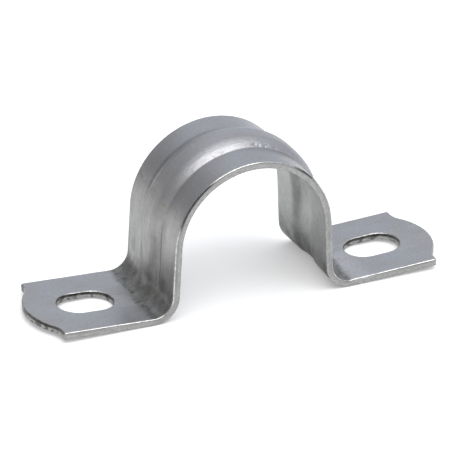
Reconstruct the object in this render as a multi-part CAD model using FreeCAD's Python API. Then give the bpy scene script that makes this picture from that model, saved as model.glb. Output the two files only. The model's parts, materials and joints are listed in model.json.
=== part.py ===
"""Two-hole conduit strap, stamped and folded from one piece of zinc-plated steel strip.

X runs from foot to foot, Y along the conduit and Z up from the wall. The origin is midway
between the feet, on the plane that the two heels stand on.
"""
import FreeCAD, Part
import math
import os
from FreeCAD import Vector

# Driving dimensions, in millimetres and degrees

SHEET = 1.2                 # thickness of the strip
STRIP_WIDTH = 19.0          # along the conduit
CONDUIT_DIAMETER = 25.0
ARCH_CLEARANCE = 0.2        # radial, between the conduit and the arch
GRIP = 0.5                  # how far the screws draw the strap down onto the conduit
SPRING_OPEN = 2.7           # each side is folded square, and then leans out by this angle
FOLD_RADIUS = 3.2           # in the corner between leg and foot

BEAD_HEIGHT = 1.15          # stiffening bead, pressed outwards along the arch and the legs
BEAD_WIDTH = 7.6            # from root to root
BEAD_FLANK = 40.0           # slope of the bead's sides
BEAD_ROOT_RADIUS = 0.6      # where the bead rises from the outer surface
BEAD_FLAT = 0.25            # least straight part that its rounded shoulders leave
BEAD_END_HEIGHT = 0.6       # height that the bead sinks to, down the leg, at the fold
BEAD_END_FLANK = 20.0       # slope of its sides there

FOOT_LENGTH = 18.4          # from the fold to the tip of the rounded end
END_BULGE = 2.8             # how far the rounded end stands past the nibs
NOTCH_RADIUS = 3.8          # of the hollow between the rounded end and each nib
NIB_WIDTH = 1.0             # from the strip's edge to the deepest point of the notch
NIB_CORNER_RADIUS = 0.4

SLOT_FROM_TIP = 10.35       # middle of the screw slot
SLOT_WIDTH = 6.8
SLOT_TRAVEL = 2.7           # how far a screw can move along its slot

EDGE_BREAK = 0.25           # bevel where blanking rounds the top outline over

# Sizes that follow from them

LEAN = math.radians(SPRING_OPEN)
ARCH_RADIUS = CONDUIT_DIAMETER / 2 + ARCH_CLEARANCE
ARCH_HEIGHT = CONDUIT_DIAMETER / 2 - GRIP
HEEL_RADIUS = FOLD_RADIUS + SHEET
FOLD_REACH = ARCH_RADIUS + HEEL_RADIUS
LEG = (ARCH_HEIGHT + FOLD_REACH * math.sin(LEAN) - HEEL_RADIUS) / math.cos(LEAN)
FOLD_END = FOLD_REACH * math.cos(LEAN) + (LEG + HEEL_RADIUS) * math.sin(LEAN)
TIP = FOLD_END + FOOT_LENGTH
EDGE = STRIP_WIDTH / 2
SPARE = 5.0                 # how far a working shape stands past what it trims
FULL_HEIGHT = ARCH_HEIGHT + ARCH_RADIUS + SHEET + BEAD_HEIGHT + 2 * SPARE

ACROSS = Vector(1, 0, 0)
ALONG = Vector(0, 1, 0)
UP = Vector(0, 0, 1)
CENTRE = Vector(0, 0, 0)
TOUCHING = 1e-4


def line(start, end):
    return Part.LineSegment(start, end).toShape()


def rounded(corners):
    """Edges through the corners (x, y, radius), with a tangent arc at each corner between the ends."""
    points = [Vector(x, y, 0) for x, y, _ in corners]
    edges = []
    start = points[0]
    for before, corner, after, (_, _, radius) in zip(points, points[1:], points[2:], corners[1:]):
        arriving = (corner - before).normalize()
        leaving = (after - corner).normalize()
        half_turn = arriving.getAngle(leaving) / 2
        arc_start = corner - arriving * radius * math.tan(half_turn)
        arc_end = corner + leaving * radius * math.tan(half_turn)
        inward = (leaving - arriving).normalize()
        middle = corner + inward * radius * (1 / math.cos(half_turn) - 1)
        edges.append(line(start, arc_start))
        edges.append(Part.Arc(arc_start, middle, arc_end).toShape())
        start = arc_end
    edges.append(line(start, points[-1]))
    return edges


def mirrored_to_four(quarter):
    """Closed wire from the edges of one quarter of an outline about the origin."""
    half = quarter + [edge.mirror(CENTRE, ALONG) for edge in quarter]
    whole = half + [edge.mirror(CENTRE, ACROSS) for edge in half]
    return Part.Wire(Part.__sortEdges__(whole))


def beaded_section(depth, other_x, height=BEAD_HEIGHT, slope=BEAD_FLANK):
    """Wire in the XY plane round the space between one surface of the sheet and the line at other_x.

    X is measured from the conduit's axis. A depth of 0 is the outer surface and SHEET the inner
    one: flank and corners are set in by the depth, so that the sheet is equally thick all over.
    """
    flank = math.radians(slope)
    bend = math.tan(flank / 2)
    half_top = BEAD_WIDTH / 2 - height / math.tan(flank)
    largest_on_top = (half_top - BEAD_FLAT / 2) / bend
    largest_on_flank = (height / math.sin(flank) - BEAD_FLAT) / bend - BEAD_ROOT_RADIUS
    root_radius = BEAD_ROOT_RADIUS + depth
    shoulder_radius = min(largest_on_top, largest_on_flank) - depth
    flat = ARCH_RADIUS + SHEET - depth
    raised = flat + height
    root = BEAD_WIDTH / 2 - depth * bend
    shoulder = half_top - depth * bend
    side = EDGE + SPARE
    surface = rounded([
        (flat, -side, 0),
        (flat, -root, root_radius),
        (raised, -shoulder, shoulder_radius),
        (raised, shoulder, shoulder_radius),
        (flat, root, root_radius),
        (flat, side, 0),
    ])
    near = Vector(other_x, -side, 0)
    far = Vector(other_x, side, 0)
    rest = [line(Vector(flat, side, 0), far), line(far, near), line(near, Vector(flat, -side, 0))]
    return Part.Wire(surface + rest)


def beyond(depth):
    """The open space outside one surface of leg, fold and foot, which are still square.

    The bead sinks down the leg. Its last section is carried round the fold without turning, so
    it keeps its height along X and dies out where the fold runs into the foot.
    """
    radius = FOLD_RADIUS + depth
    fold_start = UP * -LEG
    fold_middle = fold_start + Vector(1 - math.sqrt(0.5), 0, -math.sqrt(0.5)) * radius
    fold_end = fold_start + Vector(radius, 0, -radius)
    first = beaded_section(depth, TIP + SPARE)
    last = beaded_section(depth, TIP + SPARE, BEAD_END_HEIGHT, BEAD_END_FLANK)
    last.translate(fold_start)
    above = Part.Face(first).extrude(UP * SPARE)
    leg = Part.makeLoft([first, last], True, True)
    round_fold = Part.Wire([Part.Arc(fold_start, fold_middle, fold_end).toShape()])
    fold = Part.BRepOffsetAPI.MakePipeShell(round_fold)
    fold.setTrihedronMode(CENTRE, UP)
    fold.add(last)
    fold.build()
    fold.makeSolid()
    return [above, leg, fold.shape()]


def under(depth):
    """All that lies under one surface of the folded sheet, down past the wall."""
    low = ARCH_HEIGHT + TIP
    side = EDGE + SPARE
    block = Part.makeBox(2 * TIP, 2 * side, low, Vector(-ARCH_RADIUS / 2, -side, -low))
    right = block.cut(beyond(depth))
    right.rotate(CENTRE, ALONG, -SPRING_OPEN)
    left = right.mirror(CENTRE, ACROSS)
    arch = Part.Face(beaded_section(depth, 0)).revolve(CENTRE, ALONG, 2 * SPRING_OPEN - 180)
    arch.rotate(CENTRE, ALONG, -SPRING_OPEN)
    whole = arch.fuse([right, left])
    whole.translate(UP * ARCH_HEIGHT)
    return whole


def outline():
    """The strap's outline seen from above: edges, nibs, notches and rounded ends.

    A notch's deepest point lies on its nib's line and its arc touches the rounded end, so the
    radii of the two arcs add up to that of a circle through the tip and both notches.
    """
    nib = TIP - END_BULGE
    notch_y = EDGE - NIB_WIDTH
    end_radius = (END_BULGE**2 + notch_y**2) / (2 * END_BULGE) - NOTCH_RADIUS
    end_centre = Vector(TIP - end_radius, 0, 0)
    notch_centre = Vector(nib + NOTCH_RADIUS, notch_y, 0)
    tip = Vector(TIP, 0, 0)
    deepest = Vector(nib, notch_y, 0)
    outwards = (notch_centre - end_centre).normalize()
    half_way = (outwards + ACROSS).normalize()
    touch = end_centre + outwards * end_radius
    rounded_end = Part.Arc(tip, end_centre + half_way * end_radius, touch).toShape()
    notch = Part.Arc(touch, notch_centre - half_way * NOTCH_RADIUS, deepest).toShape()
    edge = rounded([(nib, notch_y, 0), (nib, EDGE, NIB_CORNER_RADIUS), (0, EDGE, 0)])
    return mirrored_to_four([rounded_end, notch] + edge)


def slot_outline():
    """Screw slot about the origin: two half circles and the straight sides between them."""
    radius = SLOT_WIDTH / 2
    reach = radius + SLOT_TRAVEL / 2
    straight_and_arc = rounded([(0, radius, 0), (reach, radius, radius), (reach, 0, 0)])[:2]
    return mirrored_to_four(straight_and_arc)


def top_edges(solid, walls):
    """Edges where the outer surface meets the trimmed walls."""
    found = []
    for edge in solid.Edges:
        box = edge.BoundBox
        upright = max(box.XLength, box.YLength) < TOUCHING
        below = box.ZMax < -SPARE / 2
        middle = Part.Vertex(edge.valueAt((edge.FirstParameter + edge.LastParameter) / 2))
        if not upright and not below and walls.distToShape(middle)[0] < TOUCHING:
            found.append(edge)
    return found


def strap():
    """The sheet between its two surfaces, trimmed to its outline, bevelled and slotted."""
    trim = outline()
    trim.translate(UP * -SPARE)
    trimmed = under(0).common(Part.Face(trim).extrude(UP * FULL_HEIGHT)).removeSplitter()
    bevelled = trimmed.makeChamfer(EDGE_BREAK, top_edges(trimmed, trim.extrude(UP * FULL_HEIGHT)))
    sheet = bevelled.cut(under(SHEET))
    for middle in (SLOT_FROM_TIP - TIP, TIP - SLOT_FROM_TIP):
        opening = slot_outline()
        opening.translate(Vector(middle, 0, -SPARE))
        sheet = sheet.cut(Part.Face(opening).extrude(UP * FULL_HEIGHT))
    return sheet.removeSplitter().Solids[0]


os.makedirs("parts", exist_ok=True)
strap().exportStep("parts/strap.step")
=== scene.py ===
import bpy
import json
import math
import numpy as np
from mathutils import Matrix, Vector, geometry, noise
from mathutils.kdtree import KDTree


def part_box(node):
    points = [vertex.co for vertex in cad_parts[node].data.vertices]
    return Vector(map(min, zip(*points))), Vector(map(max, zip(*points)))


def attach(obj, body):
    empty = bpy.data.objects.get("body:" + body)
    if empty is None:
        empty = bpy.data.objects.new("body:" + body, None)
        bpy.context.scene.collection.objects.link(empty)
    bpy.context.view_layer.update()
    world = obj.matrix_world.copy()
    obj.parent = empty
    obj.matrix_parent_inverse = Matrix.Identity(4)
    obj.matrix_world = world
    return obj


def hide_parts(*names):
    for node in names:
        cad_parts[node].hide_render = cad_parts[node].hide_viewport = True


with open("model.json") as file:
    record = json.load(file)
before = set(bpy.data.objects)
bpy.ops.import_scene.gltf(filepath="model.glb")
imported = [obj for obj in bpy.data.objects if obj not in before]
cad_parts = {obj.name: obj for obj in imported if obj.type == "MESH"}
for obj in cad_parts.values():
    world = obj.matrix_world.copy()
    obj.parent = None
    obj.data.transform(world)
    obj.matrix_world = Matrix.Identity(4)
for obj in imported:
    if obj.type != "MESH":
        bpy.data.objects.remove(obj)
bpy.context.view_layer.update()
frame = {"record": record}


# The blank: what the strap is before it is pressed, a flat piece of cold-rolled strip with
# rounded ends and two screw slots. Lengths are in millimetres, s runs along the strip from the
# middle of the arch and y across it, and t is the depth under the outer surface.

MM = 0.001
MOUNTS = {mount["name"]: mount for mount in frame["record"]["mounts"]}
TIP, EDGE = np.array(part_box("strap")[1])[:2] / MM     # half of the finished length and width

SHEET = 1.2
FOLD_RADIUS = 3.2           # in the corner between leg and foot
HEEL_RADIUS = FOLD_RADIUS + SHEET
ARCH_RADIUS = MOUNTS["conduit_seat"]["dims"]["r_mm"]
ARCH_HEIGHT = MOUNTS["conduit_seat"]["pos_m"][2] / MM
LEAN = math.asin(MOUNTS["right_foot_seat"]["axis"][0])

OUTER_RADIUS = ARCH_RADIUS + SHEET
FOLD_CENTRE = OUTER_RADIUS + FOLD_RADIUS
LEG = (ARCH_HEIGHT + (ARCH_RADIUS + HEEL_RADIUS) * math.sin(LEAN) - HEEL_RADIUS) / math.cos(LEAN)
SOLE = LEG + HEEL_RADIUS    # from the middle of the arch down to the foot's underside

# Where each form ends, measured along the middle of the sheet.
ARCH_END_S = (math.pi / 2 - LEAN) * (ARCH_RADIUS + SHEET / 2)
LEG_END_S = ARCH_END_S + LEG
FOLD_END_S = LEG_END_S + math.pi / 2 * (FOLD_RADIUS + SHEET / 2)
TIP_S = FOLD_END_S + (TIP - SOLE * math.sin(LEAN)) / math.cos(LEAN) - FOLD_CENTRE

END_BULGE = 2.8             # how far the rounded end stands past the nibs
NOTCH_RADIUS = 3.8
NIB_WIDTH = 1.0
NIB_CORNER_RADIUS = 0.4
SLOT = MOUNTS["screw_slots"]["dims"]
SLOT_RADIUS = SLOT["hole_r_mm"]
SLOT_STRAIGHT = SLOT["slot_length_mm"] / 2 - SLOT_RADIUS
SLOT_X = SLOT["spacing_x_mm"] / 2
SLOT_S = FOLD_END_S - FOLD_CENTRE + (SLOT_X - (SOLE - SHEET / 2) * math.sin(LEAN)) / math.cos(LEAN)

CUT_STEP = 0.3              # between neighbouring points along the blank's edges
FEWEST_ARC_STEPS = 4


def arc(centre, radius, start, end):
    """Points and outward normals along an arc, without its last point; angles in radians."""
    count = max(FEWEST_ARC_STEPS, math.ceil(abs(end - start) * radius / CUT_STEP))
    angles = start + (end - start) * np.arange(count) / count
    out = np.stack([np.cos(angles), np.sin(angles)], axis=1)
    return np.asarray(centre) + radius * out, out * math.copysign(1, end - start)


def straight(start, end):
    """Points and outward normals along a line, without its last point, going anticlockwise."""
    start, end = np.asarray(start, float), np.asarray(end, float)
    length = np.linalg.norm(end - start)
    count = max(1, math.ceil(length / CUT_STEP))
    along = (end - start) / length
    points = start + (end - start) * (np.arange(count) / count)[:, None]
    return points, np.tile([along[1], -along[0]], (count, 1))


def outline():
    """The blank's outer edge, anticlockwise from the lower corner of the right-hand end."""
    nib = TIP_S - END_BULGE
    notch_y = EDGE - NIB_WIDTH
    end_radius = (END_BULGE**2 + notch_y**2) / (2 * END_BULGE) - NOTCH_RADIUS
    end_centre = TIP_S - end_radius
    notch_centre = nib + NOTCH_RADIUS
    turn = math.atan2(notch_y, notch_centre - end_centre)
    corner = NIB_CORNER_RADIUS
    right = [
        arc((nib - corner, corner - EDGE), corner, -math.pi / 2, 0),
        straight((nib, corner - EDGE), (nib, -notch_y)),
        arc((notch_centre, -notch_y), NOTCH_RADIUS, math.pi, math.pi - turn),
        arc((end_centre, 0), end_radius, -turn, turn),
        arc((notch_centre, notch_y), NOTCH_RADIUS, math.pi + turn, math.pi),
        straight((nib, notch_y), (nib, EDGE - corner)),
        arc((nib - corner, EDGE - corner), corner, 0, math.pi / 2),
        straight((nib - corner, EDGE), (corner - nib, EDGE)),
    ]
    points, normals = (np.concatenate(lists) for lists in zip(*right))
    return np.concatenate([points, -points]), np.concatenate([normals, -normals])


def slot(middle):
    """A slot's edge, clockwise, with normals that point out of the metal."""
    half = [
        arc((SLOT_STRAIGHT, 0), SLOT_RADIUS, math.pi / 2, -math.pi / 2),
        straight((SLOT_STRAIGHT, -SLOT_RADIUS), (-SLOT_STRAIGHT, -SLOT_RADIUS)),
    ]
    points, normals = (np.concatenate(lists) for lists in zip(*half))
    return np.concatenate([points, -points]) + (middle, 0), np.concatenate([normals, -normals])


# The press work: the strip is bent over a mandrel with the bead in it, and then folded square at
# both feet. The bead sinks down each leg, and the fold flattens most of what is left of it.
# Folding also draws the middle of the heel in a little.

BEAD_ROOT = 3.8             # half of the bead's width, from its middle to where it rises
BEAD_HEIGHT = 1.15
BEAD_END_HEIGHT = 0.6
BEAD_FLANK = math.radians(40)
BEAD_END_FLANK = math.radians(20)
BEAD_ROOT_RADIUS = 0.6
BEAD_FLAT = 0.25            # least straight part that its rounded shoulders leave
BEAD_FOLDED_SHARE = 0.25    # of its height, that the fold leaves
HEEL_DRAW = 0.25
NOSE_LENGTH = 5.0           # over which the bead's end runs out into the foot

WAVE_DEPTH = 0.03
WAVE_SIZE = (5.0, 2.5, 1.0)     # along the strip, across it and through it
KNOCK_WIDTH = 0.18
KNOCKS = [
    # place along and across the strip, half length, depth
    (-3.0, -3.75, 0.4, 0.09),
    (-4.6, -3.65, 0.3, 0.07),
    (2.5, -3.3, 0.36, 0.16),
    (3.2, -3.45, 0.22, 0.1),
    (4.2, -3.5, 0.26, 0.13),
    (4.7, -3.3, 0.22, 0.08),
    (6.0, -3.5, 0.36, 0.16),
]


def smooth(share):
    """Eases from 0 to 1 as the share does."""
    share = np.clip(share, 0, 1)
    return share * share * (3 - 2 * share)


def bead(s, y, t):
    """Height of the bead over the surface at depth t: two arcs with the straight flank between."""
    sunk = np.clip((np.abs(s) - ARCH_END_S) / LEG, 0, 1)
    height = BEAD_HEIGHT + (BEAD_END_HEIGHT - BEAD_HEIGHT) * sunk
    flank = BEAD_FLANK + (BEAD_END_FLANK - BEAD_FLANK) * sunk
    bend = np.tan(flank / 2)
    half_top = BEAD_ROOT - height / np.tan(flank)
    largest_on_top = (half_top - BEAD_FLAT / 2) / bend
    largest_on_flank = (height / np.sin(flank) - BEAD_FLAT) / bend - BEAD_ROOT_RADIUS
    root_radius = BEAD_ROOT_RADIUS + t
    shoulder_radius = np.minimum(largest_on_top, largest_on_flank) - t
    from_root = BEAD_ROOT + (root_radius - t) * bend - np.abs(y)
    from_top = np.abs(y) - half_top + (shoulder_radius + t) * bend
    rise = np.clip(from_root, 0, root_radius * np.sin(flank))
    drop = np.clip(from_top, 0, shoulder_radius * np.sin(flank))
    on_root = root_radius - np.sqrt(root_radius**2 - rise**2)
    on_shoulder = height - shoulder_radius + np.sqrt(shoulder_radius**2 - drop**2)
    on_flank = (BEAD_ROOT - t * bend - np.abs(y)) * np.tan(flank)
    raised = np.where(rise < root_radius * np.sin(flank), on_root, on_flank)
    raised = np.where(drop < shoulder_radius * np.sin(flank), on_shoulder, raised)
    flattened = smooth((np.abs(s) - LEG_END_S) / (FOLD_END_S - LEG_END_S))
    return raised * (1 - (1 - BEAD_FOLDED_SHARE) * flattened)


def drawn(s, y):
    """How far folding draws the heel in at the middle of the strip."""
    from_heel = np.abs(np.abs(s) - (LEG_END_S + FOLD_END_S) / 2) / (FOLD_END_S - LEG_END_S)
    return HEEL_DRAW * np.clip(1 - from_heel**2, 0, 1) ** 2 * (1 - (y / EDGE) ** 2)


def uneven(places, depth, size):
    """A random share, 0 to 1, at each place in the blank at one depth, that changes over a size."""
    along, across, through = size
    return np.array([
        0.5 + 0.5 * noise.noise(Vector((s / along, y / across, depth / through)))
        for s, y in places])


def dented(s, y):
    """Depth of the faint waves that pressing leaves, and of the small knocks in the bead's front."""
    depth = WAVE_DEPTH * uneven(zip(s, y), 0, WAVE_SIZE)
    for knock_s, knock_y, half_length, knock_depth in KNOCKS:
        from_middle = ((s - knock_s) / half_length) ** 2 + ((y - knock_y) / KNOCK_WIDTH) ** 2
        depth = depth + knock_depth * np.exp(-from_middle)
    return depth


def folded(s, y, t, height):
    """Where the blank's points come to lie: over the arch, down a leg, round a fold, on a foot."""
    run = np.abs(s)
    on_arch = run < ARCH_END_S
    angle = np.minimum(run, ARCH_END_S) / ARCH_END_S * (math.pi / 2 - LEAN)
    radius = OUTER_RADIUS - t + height
    down = np.clip(run - ARCH_END_S, 0, LEG)
    turn = np.clip((run - LEG_END_S) / (FOLD_END_S - LEG_END_S), 0, 1) * math.pi / 2
    out = np.maximum(run - FOLD_END_S, 0)
    nose = 1 - np.clip(out / NOSE_LENGTH, 0, 1)
    side_x = FOLD_CENTRE + height * nose - (FOLD_RADIUS + t) * np.cos(turn) + out
    side_z = -down - (FOLD_RADIUS + t) * np.sin(turn)
    leaning_x = side_x * math.cos(LEAN) - side_z * math.sin(LEAN)
    leaning_z = side_x * math.sin(LEAN) + side_z * math.cos(LEAN)
    x = np.where(on_arch, radius * np.sin(angle), leaning_x)
    z = np.where(on_arch, radius * np.cos(angle), leaning_z)
    return np.stack([np.copysign(x, s), y, z + ARCH_HEIGHT], axis=-1)


# The cut edge: shears and punches leave it rounded over at the outer surface, then burnished,
# then broken with a rough grey face that stands a little back, and a faint burr underneath.

ROLLOVER = 0.25
BURNISH_END = 0.5
BREAK_SETBACK = 0.05
BREAK_DEPTHS = np.linspace(0.56, 1.12, 5)
BURR = (0.035, SHEET - 0.02)    # setback and depth, as in CUT_RINGS
BURR_FOOT = (0.07, SHEET)
EDGE_WAVE = 0.05            # how far the shear wanders
EDGE_WAVE_SIZE = (2.0, 2.0, 2.0)
BREAK_GRAIN = 0.04          # how rough the broken face is
BREAK_GRAIN_SIZE = (0.4, 0.4, 0.2)

ROLL_ANGLES = np.radians([0, 22.5, 45, 67.5, 90])
CUT_RINGS = (
    [(ROLLOVER * (1 - math.sin(a)), ROLLOVER * (1 - math.cos(a))) for a in ROLL_ANGLES]
    + [(0, BURNISH_END)]
    + [(BREAK_SETBACK, depth) for depth in BREAK_DEPTHS]
    + [BURR, BURR_FOOT]
)

# How far apart a surface's mesh lines lie, and how far where the knocks need them closer.
OUTER_SPACING = (0.34, 0.09)
INNER_SPACING = (0.5, 0.25)
KNOCKED_LENGTH = (1.0, 7.6)
KNOCKED_WIDTH = (2.8, 4.2)
FINE_WIDTH = BEAD_ROOT + 1  # within this of the middle, the lines lie twice as close across
CLEAR_SHARE = 0.6           # of the spacing, that mesh points keep from the cut edge
MERGE_DISTANCE = 1e-7


def cut_ring(loops, setback, depth):
    """The cut edges at one depth in the sheet, as uneven as shearing and breaking leave them."""
    ring = []
    for points, normals in loops:
        inset = setback + EDGE_WAVE * uneven(points, depth, EDGE_WAVE_SIZE)
        if depth > BURNISH_END:
            inset += BREAK_GRAIN * uneven(points, depth, BREAK_GRAIN_SIZE)
        ring.append(points - normals * inset[:, None])
    return ring


def both_ways(stops, spacings):
    """Positions from 0 outwards both ways, evenly spaced over each stretch between two stops."""
    half = [0]
    for start, end, spacing in zip(stops, stops[1:], spacings):
        half += list(np.linspace(start, end, math.ceil((end - start) / spacing) + 1)[1:])
    return np.array([-position for position in half[:0:-1]] + half)


def metal(points, ring):
    """Which points lie inside the outline and outside the slots: an odd count of crossings."""
    inside = np.zeros(len(points), bool)
    for loop in ring:
        for (x1, y1), (x2, y2) in zip(loop, np.roll(loop, -1, axis=0)):
            if y1 != y2:
                spans = (points[:, 1] >= min(y1, y2)) & (points[:, 1] < max(y1, y2))
                crossing = x1 + (points[:, 1] - y1) / (y2 - y1) * (x2 - x1)
                inside ^= spans & (points[:, 0] < crossing)
    return inside


def clear(points, ring, gap):
    """Which points lie at least a gap away from every point of the ring."""
    near = KDTree(sum(len(loop) for loop in ring))
    for index, (x, y) in enumerate(np.concatenate(ring)):
        near.insert((x, y, 0), index)
    near.balance()
    return np.array([near.find((x, y, 0))[2] > gap for x, y in points])


def sheet_points(ring, spacing, knocked):
    """Inner points of the surface that a ring of cut edges bounds, in lines along and across."""
    lines_s = both_ways(
        (0, *KNOCKED_LENGTH, ARCH_END_S, LEG_END_S, FOLD_END_S, TIP_S),
        (spacing, knocked, spacing, spacing, spacing, spacing))
    lines_y = both_ways(
        (0, *KNOCKED_WIDTH, FINE_WIDTH, EDGE),
        (spacing / 2, knocked, spacing / 2, spacing))
    grid = np.stack(np.meshgrid(lines_s, lines_y, indexing="ij"), axis=-1).reshape(-1, 2)
    return grid[metal(grid, ring) & clear(grid, ring, CLEAR_SHARE * spacing)]


def surface(ring, spacings):
    """Triangles over one surface of the sheet, with the ring's own points first."""
    points = np.concatenate([*ring, sheet_points(ring, *spacings)])
    edges = []
    start = 0
    for loop in ring:
        count = len(loop)
        edges += [(start + i, start + (i + 1) % count) for i in range(count)]
        start += count
    corners = [Vector(point) for point in points]
    triangles = np.array(geometry.delaunay_2d_cdt(corners, edges, [], 0, MERGE_DISTANCE)[2])
    return points, triangles[metal(points[triangles].mean(axis=1), ring)]


def walls(loops, starts):
    """Faces of the cut edges, between each ring and the one below, by where their points start."""
    faces = []
    for upper, lower in zip(starts, starts[1:]):
        for points, _ in loops:
            count = len(points)
            for i in range(count):
                j = (i + 1) % count
                faces.append([upper + j, upper + i, lower + i, lower + j])
            upper += count
            lower += count
    return faces


def press():
    """Vertices, faces and each vertex's place in the blank, for the whole strap."""
    loops = [outline(), slot(SLOT_S), slot(-SLOT_S)]
    rings = [cut_ring(loops, setback, depth) for setback, depth in CUT_RINGS]
    outer, outer_faces = surface(rings[0], OUTER_SPACING)
    inner, inner_faces = surface(rings[-1], INNER_SPACING)
    layers = [outer] + [np.concatenate(ring) for ring in rings[1:-1]] + [inner]
    starts = np.cumsum([0] + [len(layer) for layer in layers[:-1]]).tolist()
    inner_faces = inner_faces[:, ::-1] + starts[-1]
    faces = outer_faces.tolist() + inner_faces.tolist() + walls(loops, starts)
    blank = np.concatenate([
        np.column_stack([layer, np.full(len(layer), depth)])
        for layer, (_, depth) in zip(layers, CUT_RINGS)])
    s, y, t = blank.T
    # the cut edges follow the outer surface
    raised = np.where(t == SHEET, bead(s, y, SHEET), bead(s, y, 0))
    return folded(s, y, t, raised + drawn(s, y) - dented(s, y)), faces, blank


vertices, faces, blank = press()
mesh = bpy.data.meshes.new("strap_sheet")
mesh.from_pydata((vertices * MM).tolist(), [], faces)
mesh.shade_smooth()
# the finish follows each vertex's place in the flat blank
mesh.attributes.new("blank", "FLOAT_VECTOR", "POINT").data.foreach_set("vector", blank.ravel())
strap = bpy.data.objects.new("strap_sheet", mesh)
bpy.context.scene.collection.objects.link(strap)


# The finish: zinc plating a few microns thick over cold-rolled strip. It gives a cool satin grey
# with a faint mottle. The die has rubbed the legs along their length, and the folds are stained
# dark, partly with a real stain and partly with painted shade that dulls their reflections. Light
# and shade are also painted in: a painted highlight on the burnished rims of the cut edges, a
# painted dark reflection on the rim at the arch's shoulders, and a painted dark reflection as a line
# that parts the burnished rim from the pale, pitted break. Painted shade darkens the bead's root
# creases, its flanks down the legs, the flat just behind it and the strap's inner side, and painted
# light lightens the front of each foot next to its fold.

COOL_ZINC = "#abacb0"
WARM_ZINC = "#afadae"
RUBBED_ZINC = "#adadab"
SATIN = 0.34                # roughness of the plating
TINT_RANGE = (0.35, 0.65)
SMEAR_REACH = 6.0           # how far smears carry the die's rub and the stain's start along
STAIN_REACH = 2.4           # and how far they carry the stain's end

# A pixel of the render covers about 0.17 mm. Real mottle, pits and hairlines are a few
# hundredths of a millimetre wide, so they are drawn as coarse as they need to be to show.
PATCHES = {
    # size along the strip, across it and through it in mm, then detail
    "tint": (6, 4, 4, 2),
    "mottle": (0.5, 0.4, 0.5, 3),
    "smear": (2.4, 2.0, 2.0, 5),
    "streaks": (7, 0.5, 0.5, 3),
    "grain": (2.2, 0.35, 0.5, 2),
    "blots": (1.1, 0.8, 0.9, 3),
    "pits": (0.4, 0.4, 0.25, 2),
    "ticks": (0.6, 1, 2, 3),
    "hairlines": (3.5, 0.13, 0.5, 1),
}


def linear(hex_colour):
    """An sRGB hex colour as the linear colour that a shader takes."""
    values = [int(hex_colour[i:i + 2], 16) / 255 for i in (1, 3, 5)]
    return [v / 12.92 if v <= 0.04045 else ((v + 0.055) / 1.055) ** 2.4 for v in values] + [1]


def add_node(tree, kind, settings=None, *inputs, **named_inputs):
    """Adds a shader node with its settings and inputs, and gives the first of its outputs in use.

    An input is a value or another node's output, given in order or by its socket's name.
    """
    node = tree.nodes.new("ShaderNode" + kind)
    for name, value in (settings or {}).items():
        setattr(node, name, value)
    given = list(zip(node.inputs, inputs))
    for name, value in named_inputs.items():
        label = name.replace("_", " ")
        given.append((next(i for i in node.inputs if i.enabled and i.name == label), value))
    for socket, value in given:
        if isinstance(value, bpy.types.NodeSocket):
            tree.links.new(value, socket)
        else:
            socket.default_value = value
    return next((output for output in node.outputs if output.enabled), None)


zinc = bpy.data.materials.new("zinc_plated_steel")
zinc.use_nodes = True
finish = zinc.node_tree
finish.nodes.clear()
in_blank = add_node(finish, "Attribute", {"attribute_name": "blank"}).node.outputs["Vector"]
along, across, depth = add_node(finish, "SeparateXYZ", None, in_blank).node.outputs
run = add_node(finish, "Math", {"operation": "ABSOLUTE"}, along)
aside = add_node(finish, "Math", {"operation": "ABSOLUTE"}, across)
patches = {}
for name, (*size, detail) in PATCHES.items():
    scaled = add_node(finish, "VectorMath", {"operation": "DIVIDE"}, in_blank, size)
    patches[name] = add_node(finish, "TexNoise", Vector=scaled, Scale=1.0, Detail=detail)
smeared = add_node(finish, "Math", {"operation": "MULTIPLY_ADD"}, patches["smear"], SMEAR_REACH, run)
ragged = add_node(finish, "Math", {"operation": "MULTIPLY_ADD"}, patches["smear"], STAIN_REACH, run)

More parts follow.
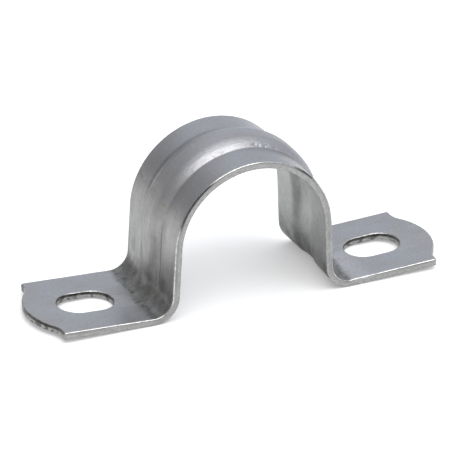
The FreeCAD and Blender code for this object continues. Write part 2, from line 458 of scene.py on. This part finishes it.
# Each ramp gives what it measures, where it is 0 and where it is 1, and eases in between.
RAMPS = {
    # along the strip
    "below_crown": (run, 3.0, 8.0),
    "crown": (run, 10.5, 8.0),
    "left_of_crown": (along, 3.0, -3.0),
    "shoulder_start": (run, 6.0, 9.0),
    "shoulder_stop": (along, 13.0, 10.0),
    "shoulder_low": (run, 18.0, 15.5),
    "root_down": (run, ARCH_END_S - 4.0, ARCH_END_S - 2.0),
    "rubbed": (smeared, ARCH_END_S - 3.2, ARCH_END_S - 2.5),
    "heelwards": (run, ARCH_END_S + 1.0, LEG_END_S + 2.0),
    "root_end": (run, LEG_END_S + 1.0, LEG_END_S - 2.0),
    "stain_start": (smeared, LEG_END_S - 0.5, LEG_END_S + 6.0),
    "stain_edge": (ragged, FOLD_END_S - 0.4, FOLD_END_S + 0.8),
    "stain_stop": (ragged, FOLD_END_S + 2.0, FOLD_END_S + 0.2),
    "fold_stop": (run, FOLD_END_S, FOLD_END_S - 2.0),
    "foot": (run, FOLD_END_S - 1.0, FOLD_END_S + 1.0),
    "near_fold": (run, FOLD_END_S + 5.0, FOLD_END_S + 1.5),
    # across it
    "in_front": (across, 1.0, -1.0),
    "under_bead": (aside, 4.2, 3.0),
    "beside_bead": (aside, 3.0, 4.2),
    "root_start": (aside, BEAD_ROOT - 0.15, BEAD_ROOT),
    "root_stop": (aside, BEAD_ROOT + 0.25, BEAD_ROOT + 0.05),
    "front_flank_start": (across, -BEAD_ROOT, 0.6 - BEAD_ROOT),
    "front_flank_stop": (across, -1.2, -2.2),
    "back_flank_start": (across, 1.2, 2.0),
    "back_flank_stop": (across, BEAD_ROOT + 0.5, BEAD_ROOT + 0.1),
    "back_root_start": (across, BEAD_ROOT + 0.1, BEAD_ROOT + 0.35),
    "back_root_stop": (across, BEAD_ROOT + 1.3, BEAD_ROOT + 0.7),
    "back_band": (across, 2.5, 4.5),
    "punched": (aside, EDGE - 0.2, EDGE - 0.5),
    "sheared": (aside, EDGE - 0.5, EDGE - 0.2),
    # through it
    "outside": (depth, SHEET / 2 + 0.01, SHEET / 2),
    "inside": (depth, SHEET - 0.05, SHEET - 0.01),
    "under_rim": (depth, 0.01, 0.05),
    "over_burr": (depth, SHEET - 0.01, SHEET - 0.06),
    "rim_stop": (depth, 0.22, 0.12),
    "rim_shade_stop": (depth, 0.42, 0.28),
    "line_start": (depth, 0.12, 0.22),
    "line_stop": (depth, 0.58, 0.42),
    "punched_start": (depth, 0.10, 0.20),
    "punched_stop": (depth, 0.75, 0.45),
    "broken": (depth, BURNISH_END, BURNISH_END + 0.1),
    # by a pattern
    "scratched": (patches["hairlines"], 0.66, 0.72),
    "blotched": (patches["blots"], 0.50, 0.58),
}
ramps = {
    name: add_node(
        finish, "MapRange", {"interpolation_type": "SMOOTHSTEP"},
        Value=measured, From_Min=zero, From_Max=one)
    for name, (measured, zero, one) in RAMPS.items()
}

# A zone is where all of its ramps reach.
ZONES = {
    "wall": ("under_rim", "over_burr"),
    # Painted highlight: the two rim zones lighten the rounded rims of the sheared and punched edges.
    "rim_highlight": ("under_rim", "rim_stop", "sheared"),
    "slot_rim_highlight": ("under_rim", "rim_stop", "punched"),
    # Painted dark reflection: this zone darkens the sheared rim on the arch's shoulders.
    "shoulder_rim_shade": (
        "under_rim", "rim_shade_stop", "sheared", "shoulder_start", "shoulder_stop", "shoulder_low"),
    # Painted dark reflection: these two zones darken the burnished band of the cut edges and slots.
    "burnish_dark_reflection": ("line_start", "line_stop"),
    "slot_burnish_dark_reflection": ("punched_start", "punched_stop", "punched"),
    "blotches": ("punched_start", "over_burr", "punched", "blotched"),
    "break": ("broken", "over_burr"),
    # The fold zones are partly a real stain and partly painted shade over the folds' reflections.
    "stain_and_shade": ("stain_start", "stain_stop"),
    "stain_border": ("stain_edge", "stain_stop", "outside"),
    "scratches": ("scratched", "outside"),
    "bead": ("under_bead", "outside"),
    # Painted shade: the next five zones darken the bead's root creases, its flanks down the legs and
    # the flat just behind it.
    "root": ("root_start", "root_stop", "root_down", "root_end", "outside"),
    "front_root_shade": ("root_start", "root_stop", "in_front", "crown", "outside"),
    "front_flank_shade": ("front_flank_start", "front_flank_stop", "heelwards", "fold_stop", "outside"),
    "back_root_shade": ("back_root_start", "back_root_stop", "left_of_crown", "shoulder_low", "outside"),
    "back_flank_shade": ("back_flank_start", "back_flank_stop", "below_crown", "root_end", "outside"),
    "outer_leg": ("rubbed", "root_end", "outside"),
    "leg_back": ("rubbed", "root_end", "outside", "back_band"),
    # Painted light: this zone lightens the front of each foot next to its fold.
    "foot_front_light": ("foot", "near_fold", "in_front", "outside"),
    # Painted shade: the three inner zones darken the strap's inner side.
    "inner_flat_shade": ("inside", "beside_bead"),
    "inner_groove_shade": ("inside", "under_bead", "heelwards"),
    "inner_heel_shade": ("inside", "heelwards"),
}
zones = {}
for name, (first, *others) in ZONES.items():
    zones[name] = ramps[first]
    for other in others:
        zones[name] = add_node(finish, "Math", {"operation": "MULTIPLY"}, zones[name], ramps[other])
zones["sheet"] = add_node(finish, "Math", {"operation": "SUBTRACT"}, 1.0, zones["wall"])
for name in ("stain_and_shade", "stain_border"):
    zones[name] = add_node(finish, "Math", {"operation": "MULTIPLY"}, zones[name], zones["sheet"])
zones["leg"] = add_node(finish, "Math", {"operation": "SUBTRACT"}, ramps["rubbed"], ramps["foot"])

# Each row of the next three lists gives a zone, the amount there where a pattern is 0, the
# pattern, and what is added to the amount where it is 1. A darkening of 1 is black.
DARKENING = [
    ("sheet", -0.2, "mottle", 0.4),
    ("sheet", -0.14, "tint", 0.28),
    ("leg", -0.15, "smear", 0.35),
    ("outer_leg", -0.12, "streaks", 0.32),
    ("leg_back", 0.05, "streaks", 0.14),
    # Painted shade on the strap's inner side.
    ("inner_flat_shade", 0.13, "mottle", 0.06),
    ("inner_groove_shade", 0.12, "mottle", 0.06),
    ("inner_heel_shade", 0.12, "mottle", 0.12),
    # Painted shade along the bead's root creases, on its flanks and on the flat behind it.
    ("root", 0.1, "tint", 0.5),
    ("front_root_shade", 0.05, "tint", 0.3),
    ("back_flank_shade", 0.1, "smear", 0.4),
    ("back_root_shade", 0.1, "smear", 0.3),
    ("front_flank_shade", 0.15, "streaks", 0.1),
    ("scratches", -0.16, "mottle", 0.1),
    # Painted light on the front of each foot next to its fold.
    ("foot_front_light", -0.25, "mottle", 0.2),
    # The fold stain, partly real and partly painted shade over the folds' reflections.
    ("stain_and_shade", 0.2, "smear", 0.5),
    ("stain_and_shade", -0.14, "mottle", 0.28),
    ("stain_border", -0.9, "blots", 2.2),
    ("wall", -0.02, "ticks", 0.1),
    # Painted highlight on the rims of the sheared and punched edges, broken by darker ticks.
    ("rim_highlight", -1.7, "ticks", 2.3),
    ("slot_rim_highlight", -1.4, "ticks", 2.6),
    # Painted dark reflection on the sheared rim at the arch's shoulders.
    ("shoulder_rim_shade", 0.6, "ticks", 0.3),
    # Painted dark reflection on the burnished band of the cut edges and slots.
    ("burnish_dark_reflection", -0.15, "tint", 0.7),
    ("slot_burnish_dark_reflection", 0.68, "tint", 0.2),
    ("blotches", 0.5, "pits", 0.2),
    ("break", -0.35, "pits", 0.7),
]
ROUGHENING = [
    ("sheet", -0.05, "grain", 0.1),
    ("foot_front_light", 0.12, "tint", 0.0),
    ("bead", 0.0, "grain", 0.14),
    ("outer_leg", 0.0, "streaks", 0.1),
    ("stain_and_shade", 0.0, "smear", 0.2),
    ("wall", -0.16, "tint", 0.0),
    ("rim_highlight", -0.06, "tint", 0.0),
    ("break", 0.2, "pits", 0.2),
]
RELIEF_MM = [
    ("sheet", 0.0, "mottle", 0.02),
    ("sheet", 0.0, "grain", 0.03),
    ("outer_leg", 0.0, "streaks", 0.03),
    ("bead", 0.0, "streaks", 0.06),
    ("bead", 0.0, "hairlines", 0.03),
    ("stain_and_shade", 0.0, "smear", 0.04),
    ("break", 0.0, "pits", 0.08),
]


def varied(zone, amount, pattern, swing):
    """What one row of these lists gives, at each point of the surface."""
    there = add_node(finish, "Math", {"operation": "MULTIPLY_ADD"}, patches[pattern], swing, amount)
    return add_node(finish, "Math", {"operation": "MULTIPLY"}, zones[zone], there)


shade = 1.0
for row in DARKENING:
    kept = add_node(finish, "Math", {"operation": "SUBTRACT"}, 1.0, varied(*row))
    shade = add_node(finish, "Math", {"operation": "MULTIPLY"}, kept, shade)
roughness = SATIN
for row in ROUGHENING:
    roughness = add_node(finish, "Math", {"operation": "ADD"}, varied(*row), roughness)
relief_mm = 0.0
for row in RELIEF_MM:
    relief_mm = add_node(finish, "Math", {"operation": "ADD"}, varied(*row), relief_mm)

tinted = add_node(
    finish, "MapRange", Value=patches["tint"], From_Min=TINT_RANGE[0], From_Max=TINT_RANGE[1])
plated = add_node(
    finish, "Mix", {"data_type": "RGBA"}, tinted, A=linear(COOL_ZINC), B=linear(WARM_ZINC))
worn = add_node(finish, "Math", {"operation": "MAXIMUM"}, zones["leg"], zones["wall"])
colour = add_node(finish, "Mix", {"data_type": "RGBA"}, worn, A=plated, B=linear(RUBBED_ZINC))
shaded = add_node(finish, "VectorMath", {"operation": "SCALE"}, colour, Scale=shade)
bumps = add_node(finish, "Bump", Distance=MM, Height=relief_mm)
metallic = add_node(
    finish, "BsdfPrincipled", Base_Color=shaded, Metallic=1.0, Roughness=roughness, Normal=bumps)
add_node(finish, "OutputMaterial", Surface=metallic)
mesh.materials.append(zinc)

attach(strap, "root")
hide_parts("strap")


# The table top: a plain sheet of white paper, which keeps the strap's shadow. The camera sees it
# lighter than the lamps make it, and the metal half as much so, and it runs into the white room.

PAPER_WHITE = "#f4f4f4"
PAPER_ROUGHNESS = 0.9
PAPER_LIFT = 0.3
SHARE_OF_LIFT_IN_METAL = 0.5
PAPER_REACH = 3.0           # in metres, from the strap to each side of the sheet

floor_corners = [(x * PAPER_REACH, y * PAPER_REACH, 0) for x, y in ((-1, -1), (1, -1), (1, 1), (-1, 1))]
floor_mesh = bpy.data.meshes.new("floor")
floor_mesh.from_pydata(floor_corners, [], [(0, 1, 2, 3)])
floor = bpy.data.objects.new("floor", floor_mesh)
bpy.context.scene.collection.objects.link(floor)
white_paper = bpy.data.materials.new("white_paper")
white_paper.use_nodes = True
paper = white_paper.node_tree
paper.nodes.clear()
rays = add_node(paper, "LightPath").node.outputs
seen = add_node(
    paper, "Math", {"operation": "MULTIPLY_ADD"},
    rays["Is Glossy Ray"], SHARE_OF_LIFT_IN_METAL, rays["Is Camera Ray"])
lift = add_node(paper, "Math", {"operation": "MULTIPLY"}, seen, PAPER_LIFT)
fibres = add_node(
    paper, "BsdfPrincipled", Base_Color=linear(PAPER_WHITE), Roughness=PAPER_ROUGHNESS,
    Emission_Color=linear("#ffffff"), Emission_Strength=lift)
add_node(paper, "OutputMaterial", Surface=fibres)
floor_mesh.materials.append(white_paper)


# The studio: a white room with a pale wall to the right and a lighter ceiling, and one large soft
# lamp overhead, a little to the front. Azimuth turns from straight ahead to the right.

ROOM_WHITE = "#ffffff"
ROOM_LEVEL = 0.37
ROOM_PARTS = {
    # azimuth, height, reach and softness of its edge in degrees, then colour and strength
    "right_wall": (62, 22, 62, 28, "#e5efff", 0.44),
    "ceiling": (180, 80, 42, 30, "#ffffff", 0.25),
    "ceiling_middle": (20, 84, 20, 18, "#ffffff", 0.5),
}
LAMP_AZIMUTH = 186
LAMP_HEIGHT = 67
LAMP_DISTANCE = 1.2         # metres, as its two sizes are
LAMP_LENGTH = 1.4
LAMP_WIDTH = 1.0
LAMP_POWER = 7.2            # watts


def aim(azimuth, height):
    """The direction at an azimuth and a height above the floor, in degrees."""
    azimuth, height = math.radians(azimuth), math.radians(height)
    level = Vector((math.sin(azimuth), math.cos(azimuth), 0))
    return level * math.cos(height) + Vector((0, 0, math.sin(height)))


world = bpy.data.worlds.new("studio")
bpy.context.scene.world = world
world.use_nodes = True
room = world.node_tree
room.nodes.clear()
outwards = add_node(room, "TexCoord").node.outputs["Generated"]
light = add_node(room, "Background", Color=linear(ROOM_WHITE), Strength=ROOM_LEVEL)
for azimuth, height, reach, softness, paint, strength in ROOM_PARTS.values():
    towards = add_node(room, "VectorMath", {"operation": "DOT_PRODUCT"}, outwards, aim(azimuth, height))
    spread = add_node(
        room, "MapRange", {"interpolation_type": "SMOOTHSTEP"}, Value=towards,
        From_Min=math.cos(math.radians(reach + softness)),
        From_Max=math.cos(math.radians(reach - softness)), To_Max=strength)
    part = add_node(room, "Background", Color=linear(paint), Strength=spread)
    light = add_node(room, "AddShader", None, light, part)
add_node(room, "OutputWorld", Surface=light)

lamp = bpy.data.lights.new("softbox", "AREA")
lamp.shape = "ELLIPSE"
lamp.size = LAMP_LENGTH
lamp.size_y = LAMP_WIDTH
lamp.energy = LAMP_POWER
softbox = bpy.data.objects.new("softbox", lamp)
softbox.location = aim(LAMP_AZIMUTH, LAMP_HEIGHT) * LAMP_DISTANCE
softbox.rotation_euler = aim(LAMP_AZIMUTH, LAMP_HEIGHT).to_track_quat("Z", "Y").to_euler()
bpy.context.scene.collection.objects.link(softbox)


# The camera: a long lens from the front left, as in the photograph. Its place, aim and roll were
# fitted to points traced on the strap there.

CAMERA_PLACE = Vector((-306.24, -675.07, 386.72)) * MM
CAMERA_AZIMUTH = 24.334
CAMERA_HEIGHT = -26.917     # of its aim, in degrees above level
CAMERA_ROLL = math.radians(0.532)
LENS = 407.486
SENSOR_WIDTH = 36

camera_data = bpy.data.cameras.new("camera")
camera_data.lens = LENS
camera_data.sensor_width = SENSOR_WIDTH
camera = bpy.data.objects.new("camera", camera_data)
bpy.context.scene.collection.objects.link(camera)
forward = aim(CAMERA_AZIMUTH, CAMERA_HEIGHT)
level = aim(CAMERA_AZIMUTH + 90, 0)
upright = level.cross(forward)
right = level * math.cos(CAMERA_ROLL) + upright * math.sin(CAMERA_ROLL)
top = upright * math.cos(CAMERA_ROLL) - level * math.sin(CAMERA_ROLL)
turned = Matrix((right, top, -forward)).transposed().to_4x4()
camera.matrix_world = Matrix.Translation(CAMERA_PLACE) @ turned
bpy.context.scene.camera = camera
bpy.context.scene.view_settings.view_transform = "Standard"
